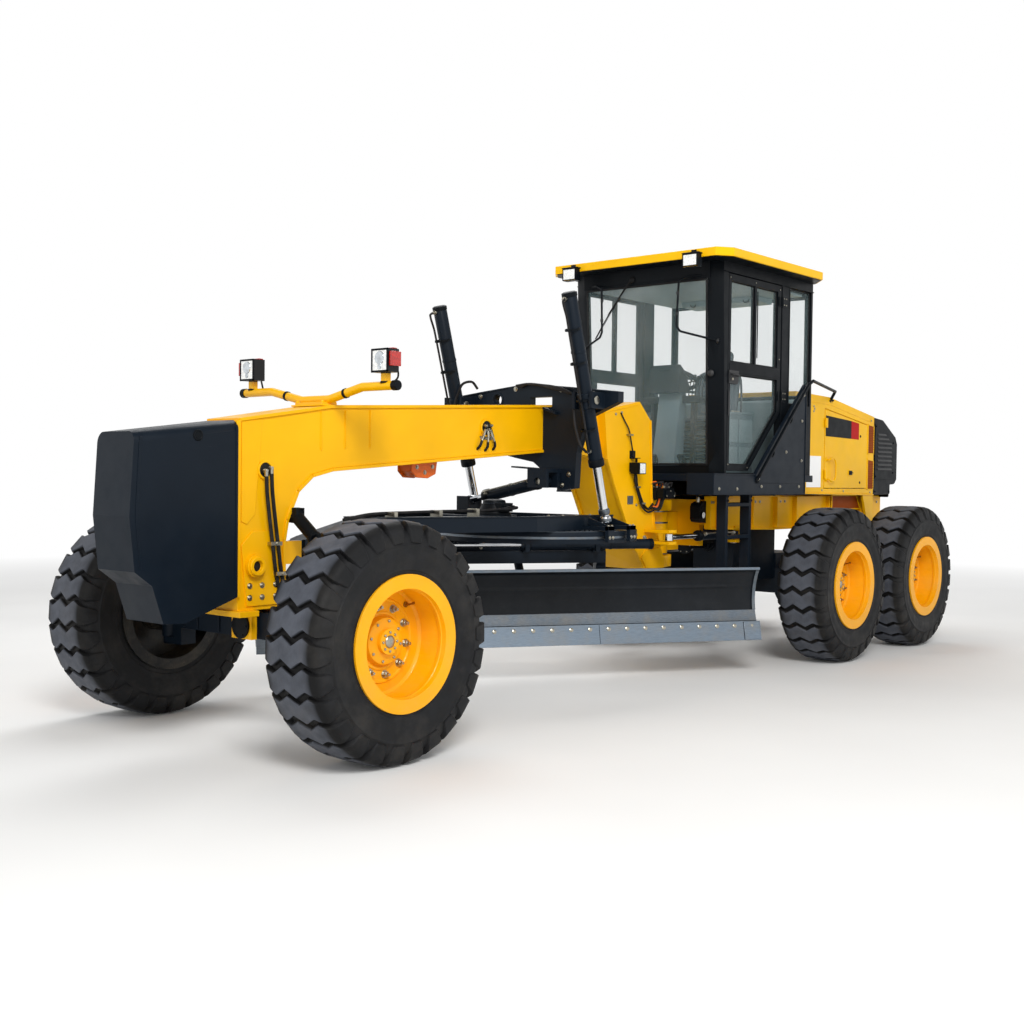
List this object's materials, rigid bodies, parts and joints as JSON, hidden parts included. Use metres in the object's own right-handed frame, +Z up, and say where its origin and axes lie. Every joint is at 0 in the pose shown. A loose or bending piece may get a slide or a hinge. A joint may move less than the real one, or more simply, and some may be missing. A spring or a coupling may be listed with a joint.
{
  "type": "motor grader",
  "caption": "Articulated motor grader with a long gooseneck front frame, drawbar, turning circle and angled blade, glazed cab, engine hood, tandem rear wheels and steered front wheels.",
  "frame": {"origin": "on the ground under the middle of the overall box", "axes": "+X forward, +Y left, +Z up"},
  "size_m": [8.91, 2.6, 3.418],
  "materials": {
    "yellow_paint": "semi-gloss",
    "rim_paint": "semi-gloss",
    "slate_paint": "semi-gloss",
    "tyre_rubber": "matte",
    "chrome_rod": "polished",
    "black_paint": "satin",
    "steel": "worn",
    "window_glass": "clear",
    "seat_fabric": "woven",
    "black_plastic": "matte"
  },
  "bodies": {
    "rear_frame": {"rear_frame": "yellow_paint", "rear_axle": "yellow_paint", "tandem_cases": "yellow_paint", "engine_block": "steel", "hood": "yellow_paint", "rear_shroud": "black_paint", "cab_platform": "yellow_paint", "cab_frame": "black_paint", "cab_roof": "yellow_paint", "cab_glass": "window_glass", "seat": "seat_fabric", "cab_interior": "black_plastic", "ladders": "black_paint", "handrails": "black_paint"},
    "front_frame": {"front_frame": "yellow_paint", "counterweight": "slate_paint", "lamp_bar": "black_paint", "saddle": "yellow_paint", "front_axle": "yellow_paint", "steering_cylinder": "slate_paint"},
    "knuckle_left": {"knuckle_left": "yellow_paint"},
    "knuckle_right": {"knuckle_right": "yellow_paint"},
    "tie_rod": {"tie_rod": "yellow_paint"},
    "steering_rod": {"steering_rod": "chrome_rod"},
    "drawbar": {"drawbar": "yellow_paint"},
    "circle": {"circle": "yellow_paint"},
    "blade_bracket": {"blade_bracket": "yellow_paint", "blade_shift_cylinder": "slate_paint"},
    "moldboard": {"moldboard": "slate_paint", "cutting_edge": "steel", "blade_shift_rod": "chrome_rod"},
    "tip_cylinder": {"tip_cylinder": "slate_paint"},
    "tip_rod": {"tip_rod": "chrome_rod"},
    "lift_cylinders": {"lift_cylinders": "slate_paint"},
    "lift_rods": {"lift_rods": "chrome_rod"},
    "drawbar_shift_cylinder": {"drawbar_shift_cylinder": "slate_paint"},
    "drawbar_shift_rod": {"drawbar_shift_rod": "chrome_rod"},
    "artic_cylinder_left": {"artic_cylinder_left": "slate_paint"},
    "artic_cylinder_right": {"artic_cylinder_right": "slate_paint"},
    "artic_rod_left": {"artic_rod_left": "chrome_rod"},
    "artic_rod_right": {"artic_rod_right": "chrome_rod"},
    "door_left": {"door_left": "black_paint", "door_glass_left": "window_glass"},
    "door_right": {"door_right": "black_paint", "door_glass_right": "window_glass"},
    "engine_door_left": {"engine_door_left": "yellow_paint"},
    "engine_door_right": {"engine_door_right": "yellow_paint"},
    "wheel_front_left": {"tyre_front_left": "tyre_rubber", "rim_front_left": "rim_paint"},
    "wheel_front_right": {"tyre_front_right": "tyre_rubber", "rim_front_right": "rim_paint"},
    "wheel_mid_left": {"tyre_mid_left": "tyre_rubber", "rim_mid_left": "rim_paint"},
    "wheel_mid_right": {"tyre_mid_right": "tyre_rubber", "rim_mid_right": "rim_paint"},
    "wheel_rear_left": {"tyre_rear_left": "tyre_rubber", "rim_rear_left": "rim_paint"},
    "wheel_rear_right": {"tyre_rear_right": "tyre_rubber", "rim_rear_right": "rim_paint"}
  },
  "joints": [
    {"name": "articulation", "type": "hinge", "parent": "rear_frame", "child": "front_frame", "pos_m": [-0.79, 0, 1.1], "axis": [0, 0, -1], "range_deg": [-25, 25]},
    {"name": "artic_cylinder_left_swing", "type": "hinge", "parent": "rear_frame", "child": "artic_cylinder_left", "pos_m": [-1.4, 0.42, 1.1], "axis": [0, 0, -1], "range_deg": [-10.3, 10.3]},
    {"name": "artic_rod_left_stroke", "type": "slide", "parent": "artic_cylinder_left", "child": "artic_rod_left", "axis": [1, 0, 0], "range_m": [-0.1835, 0.1835]},
    {"name": "artic_cylinder_right_swing", "type": "hinge", "parent": "rear_frame", "child": "artic_cylinder_right", "pos_m": [-1.4, -0.42, 1.1], "axis": [0, 0, -1], "range_deg": [-10.3, 10.3]},
    {"name": "artic_rod_right_stroke", "type": "slide", "parent": "artic_cylinder_right", "child": "artic_rod_right", "axis": [1, 0, 0], "range_m": [-0.1835, 0.1835]},
    {"name": "steering", "type": "hinge", "parent": "front_frame", "child": "knuckle_left", "pos_m": [3.46, 0.88, 0.67], "axis": [0, 0, -1], "range_deg": [-45, 45]},
    {"name": "steering_right", "type": "hinge", "parent": "front_frame", "child": "knuckle_right", "pos_m": [3.46, -0.88, 0.67], "axis": [0, 0, -1], "range_deg": [-45.3, 45.3]},
    {"name": "tie_rod_end", "type": "hinge", "parent": "knuckle_left", "child": "tie_rod", "pos_m": [3.23, 0.88, 0.6], "axis": [0, 0, -1], "range_deg": [-45.3, 45.3]},
    {"name": "steering_rod_stroke", "type": "slide", "parent": "front_frame", "child": "steering_rod", "axis": [-0.1539, 0.9881, 0], "range_m": [-0.1402, 0.1402]},
    {"name": "roll_front_left", "type": "hinge", "parent": "knuckle_left", "child": "wheel_front_left", "pos_m": [3.46, 1.075, 0.67], "axis": [0, 1, 0], "continuous": true},
    {"name": "roll_front_right", "type": "hinge", "parent": "knuckle_right", "child": "wheel_front_right", "pos_m": [3.46, -1.075, 0.67], "axis": [0, 1, 0], "continuous": true},
    {"name": "roll_mid_left", "type": "hinge", "parent": "rear_frame", "child": "wheel_mid_left", "pos_m": [-1.99, 1.075, 0.67], "axis": [0, 1, 0], "continuous": true},
    {"name": "roll_mid_right", "type": "hinge", "parent": "rear_frame", "child": "wheel_mid_right", "pos_m": [-1.99, -1.075, 0.67], "axis": [0, 1, 0], "continuous": true},
    {"name": "roll_rear_left", "type": "hinge", "parent": "rear_frame", "child": "wheel_rear_left", "pos_m": [-3.53, 1.075, 0.67], "axis": [0, 1, 0], "continuous": true},
    {"name": "roll_rear_right", "type": "hinge", "parent": "rear_frame", "child": "wheel_rear_right", "pos_m": [-3.53, -1.075, 0.67], "axis": [0, 1, 0], "continuous": true},
    {"name": "drawbar_lift", "type": "hinge", "parent": "front_frame", "child": "drawbar", "pos_m": [3.25, 0, 1.1], "axis": [0, 1, 0], "range_deg": [-18.5, 4]},
    {"name": "lift_cylinder_swing", "type": "hinge", "parent": "front_frame", "child": "lift_cylinders", "pos_m": [1.03, 0, 2.13], "axis": [0, 1, 0], "range_deg": [-10.48, 2.5]},
    {"name": "lift_rod_stroke", "type": "slide", "parent": "lift_cylinders", "child": "lift_rods", "axis": [-0.2791, 0, -0.9603], "range_m": [-0.1685, 0.7721]},
    {"name": "shift_cylinder_swing", "type": "hinge", "parent": "front_frame", "child": "drawbar_shift_cylinder", "pos_m": [1.025, 0.24, 1.545], "axis": [1, 0, 0], "range_deg": [-9.5, 42.85]},
    {"name": "shift_rod_stroke", "type": "slide", "parent": "drawbar_shift_cylinder", "child": "drawbar_shift_rod", "axis": [0, -0.979, -0.204], "range_m": [-0.0753, 0.341]},
    {"name": "circle_turn", "type": "hinge", "parent": "drawbar", "child": "circle", "pos_m": [0.8, 0, 1.15], "axis": [0, 0, 1], "range_deg": [-115, 0]},
    {"name": "blade_tip", "type": "hinge", "parent": "circle", "child": "blade_bracket", "pos_m": [0.67212, -0.20073, 0.43], "axis": [-0.8434, 0.5373, 0], "range_deg": [-5, 40]},
    {"name": "tip_cylinder_swing", "type": "hinge", "parent": "circle", "child": "tip_cylinder", "pos_m": [0.47762, -0.50603, 1.05], "axis": [-0.8434, 0.5373, 0], "range_deg": [-11.1, 1.65]},
    {"name": "tip_rod_stroke", "type": "slide", "parent": "tip_cylinder", "child": "tip_rod", "axis": [0.3224, 0.506, -0.8], "range_m": [-0.0155, 0.1102]},
    {"name": "blade_shift", "type": "slide", "parent": "blade_bracket", "child": "moldboard", "axis": [0.8434, -0.5373, 0], "range_m": [-0.45, 0.45]},
    {"name": "door_left_hinge", "type": "hinge", "parent": "rear_frame", "child": "door_left", "pos_m": [-1.595, 0.757, 2.45], "axis": [0, 0, 1], "range_deg": [0, 80]},
    {"name": "door_right_hinge", "type": "hinge", "parent": "rear_frame", "child": "door_right", "pos_m": [-1.595, -0.757, 2.45], "axis": [0, 0, -1], "range_deg": [0, 80]},
    {"name": "engine_door_left_hinge", "type": "hinge", "parent": "rear_frame", "child": "engine_door_left", "pos_m": [-2.79, 0.586, 1.9], "axis": [0, 0, -1], "range_deg": [0, 80]},
    {"name": "engine_door_right_hinge", "type": "hinge", "parent": "rear_frame", "child": "engine_door_right", "pos_m": [-2.79, -0.586, 1.9], "axis": [0, 0, 1], "range_deg": [0, 80]}
  ],
  "couplings": [
    {"joint": "artic_cylinder_left_swing", "follows": "articulation", "ratio": 0.4},
    {"joint": "artic_rod_left_stroke", "follows": "articulation", "m_per_rad": 0.416},
    {"joint": "artic_cylinder_right_swing", "follows": "articulation", "ratio": 0.4},
    {"joint": "artic_rod_right_stroke", "follows": "articulation", "m_per_rad": -0.416},
    {"joint": "steering_right", "follows": "steering", "ratio": 1},
    {"joint": "tie_rod_end", "follows": "steering", "ratio": -1},
    {"joint": "steering_rod_stroke", "follows": "steering", "m_per_rad": 0.176},
    {"joint": "lift_cylinder_swing", "follows": "drawbar_lift", "ratio": 0.55},
    {"joint": "lift_rod_stroke", "follows": "drawbar_lift", "m_per_rad": -2.385},
    {"joint": "shift_cylinder_swing", "follows": "drawbar_lift", "ratio": -2.3},
    {"joint": "shift_rod_stroke", "follows": "drawbar_lift", "m_per_rad": -1.05},
    {"joint": "tip_cylinder_swing", "follows": "blade_tip", "ratio": -0.27},
    {"joint": "tip_rod_stroke", "follows": "blade_tip", "m_per_rad": 0.155}
  ]
}
